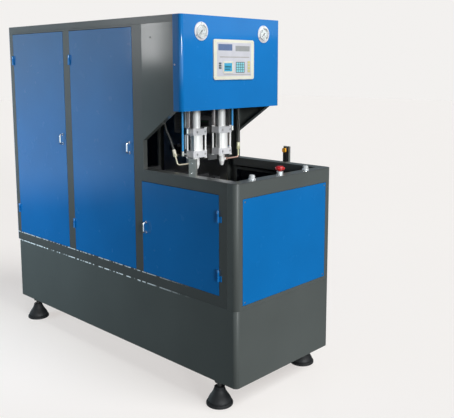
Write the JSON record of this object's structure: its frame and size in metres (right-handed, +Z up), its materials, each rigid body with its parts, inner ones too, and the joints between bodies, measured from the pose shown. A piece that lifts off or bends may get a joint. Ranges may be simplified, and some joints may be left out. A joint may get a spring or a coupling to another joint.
{
  "type": "blow moulding machine",
  "caption": "Floor-standing stretch blow moulding machine: sheet-metal cabinet with side doors, overhanging head with sealing cylinders, open mould pit and levelling feet.",
  "frame": {"origin": "centre of the footprint on the floor", "axes": "+Z up, the front with the operator panel faces -Y, +X to the right seen from the front"},
  "size_m": [0.83, 2.09, 1.99],
  "materials": {
    "blue_paint": "satin blue enamel",
    "cabinet_blue": "satin darker blue enamel",
    "grey_paint": "satin dark grey enamel",
    "skirt_paint": "satin slate grey enamel",
    "light_grey_paint": "satin mid grey enamel",
    "machined_steel": "ground",
    "ground_rod": "hard chromed and ground",
    "bright_chrome": "polished",
    "zinc_steel": "zinc plated",
    "cast_platen": "machined and painted",
    "anodised": "anodised",
    "dark_anodised": "dark anodised",
    "brass_fitting": "turned",
    "copper_pipe": "drawn",
    "blue_tube": "smooth polyurethane",
    "clear_hose": "braided clear plastic",
    "black_rubber": "moulded",
    "black_plastic": "moulded",
    "ivory_plastic": "moulded",
    "red_plastic": "moulded",
    "green_plastic": "moulded",
    "needle_red": "painted",
    "gauge_metal": "pressed",
    "clear_glass": "clear",
    "unit_plastic": "moulded",
    "tank_paint": "satin"
  },
  "bodies": {
    "root": {"air_fittings": "brass_fitting", "air_receiver": "tank_paint", "air_tubes": "blue_tube", "back_panel": "cabinet_blue", "base_skirt": "skirt_paint", "beam_sensors": "black_plastic", "blow_hose_left": "clear_hose", "blow_hose_right": "clear_hose", "cabinet_roof": "grey_paint", "clamp_cylinder": "grey_paint", "control_bezels": "bright_chrome", "control_units": "unit_plastic", "cylinder_bracket": "dark_anodised", "end_platens": "cast_platen", "filter_regulator": "anodised", "foot_pads": "black_rubber", "foot_stems": "zinc_steel", "frame_hinge_halves": "zinc_steel", "front_frame": "grey_paint", "front_panel": "blue_paint", "gauge_cases": "gauge_metal", "gauge_lenses": "clear_glass", "guide_rods": "ground_rod", "hanger_tubes": "machined_steel", "head_hood": "blue_paint", "head_plate": "machined_steel", "head_side_panels": "light_grey_paint", "left_side_frame": "grey_paint", "machine_bed": "grey_paint", "mounting_plate": "zinc_steel", "operator_panel": "ivory_plastic", "right_side_frame": "grey_paint", "right_side_panels": "cabinet_blue", "sealing_cylinder_barrels": "anodised", "sealing_cylinder_caps": "anodised", "sealing_cylinder_tie_rods": "zinc_steel", "sensor_brackets": "zinc_steel", "stretch_cylinder": "anodised", "table_rim": "grey_paint", "tie_bars": "ground_rod", "valve_manifold": "anodised"},
    "tall_door_rear": {"tall_door_rear": "cabinet_blue", "handle_rear": "bright_chrome"},
    "tall_door_middle": {"tall_door_middle": "cabinet_blue", "handle_middle": "bright_chrome"},
    "lower_door": {"lower_door": "cabinet_blue", "handle_lower": "bright_chrome"},
    "nozzle_left": {"nozzle_left": "brass_fitting", "blow_pipe_left": "copper_pipe"},
    "nozzle_right": {"nozzle_right": "brass_fitting", "blow_pipe_right": "copper_pipe"},
    "stretch_crosshead": {"stretch_crosshead": "anodised", "stretch_rods": "ground_rod"},
    "moving_platen": {"moving_platen": "cast_platen", "clamp_rod": "ground_rod"},
    "start_button_left": {"start_button_left": "green_plastic"},
    "start_button_right": {"start_button_right": "green_plastic"},
    "emergency_stop_cap": {"emergency_stop_cap": "red_plastic"},
    "gauge_needle_left": {"gauge_needle_left": "needle_red"},
    "gauge_needle_right": {"gauge_needle_right": "needle_red"}
  },
  "joints": [
    {"name": "tall_door_rear_hinge", "type": "hinge", "parent": "root", "child": "tall_door_rear", "pos_m": [-0.3913, 1.001, 1.24], "axis": [0, 0, -1], "range_deg": [0, 110]},
    {"name": "tall_door_middle_hinge", "type": "hinge", "parent": "root", "child": "tall_door_middle", "pos_m": [-0.3913, 0.331, 1.24], "axis": [0, 0, -1], "range_deg": [0, 110]},
    {"name": "lower_door_hinge", "type": "hinge", "parent": "root", "child": "lower_door", "pos_m": [-0.3913, -0.928, 0.84], "axis": [0, 0, 1], "range_deg": [0, 110]},
    {"name": "clamp_slide", "type": "slide", "parent": "root", "child": "moving_platen", "axis": [0, -1, 0], "range_m": [0, 0.18]},
    {"name": "nozzle_left_slide", "type": "slide", "parent": "root", "child": "nozzle_left", "axis": [0, 0, -1], "range_m": [0, 0.06], "deforming": ["blow_hose_left"]},
    {"name": "nozzle_right_slide", "type": "slide", "parent": "root", "child": "nozzle_right", "axis": [0, 0, -1], "range_m": [0, 0.06], "deforming": ["blow_hose_right"]},
    {"name": "stretch_slide", "type": "slide", "parent": "root", "child": "stretch_crosshead", "axis": [0, 0, -1], "range_m": [0, 0.24]},
    {"name": "start_button_left_press", "type": "slide", "parent": "root", "child": "start_button_left", "axis": [0, 0, -1], "range_m": [0, 0.005], "stiffness_N_per_m": 800, "springref_m": -0.002},
    {"name": "start_button_right_press", "type": "slide", "parent": "root", "child": "start_button_right", "axis": [0, 0, -1], "range_m": [0, 0.005], "stiffness_N_per_m": 800, "springref_m": -0.002},
    {"name": "emergency_stop_press", "type": "slide", "parent": "root", "child": "emergency_stop_cap", "axis": [0, 0, -1], "range_m": [0, 0.005], "stiffness_N_per_m": 800, "springref_m": -0.002},
    {"name": "gauge_left_needle", "type": "hinge", "parent": "root", "child": "gauge_needle_left", "pos_m": [-0.243, -0.67, 1.908], "axis": [0, 1, 0], "range_deg": [0, 270], "stiffness_Nm_per_rad": 0.002},
    {"name": "gauge_right_needle", "type": "hinge", "parent": "root", "child": "gauge_needle_right", "pos_m": [0.243, -0.67, 1.908], "axis": [0, 1, 0], "range_deg": [0, 270], "stiffness_Nm_per_rad": 0.002}
  ]
}
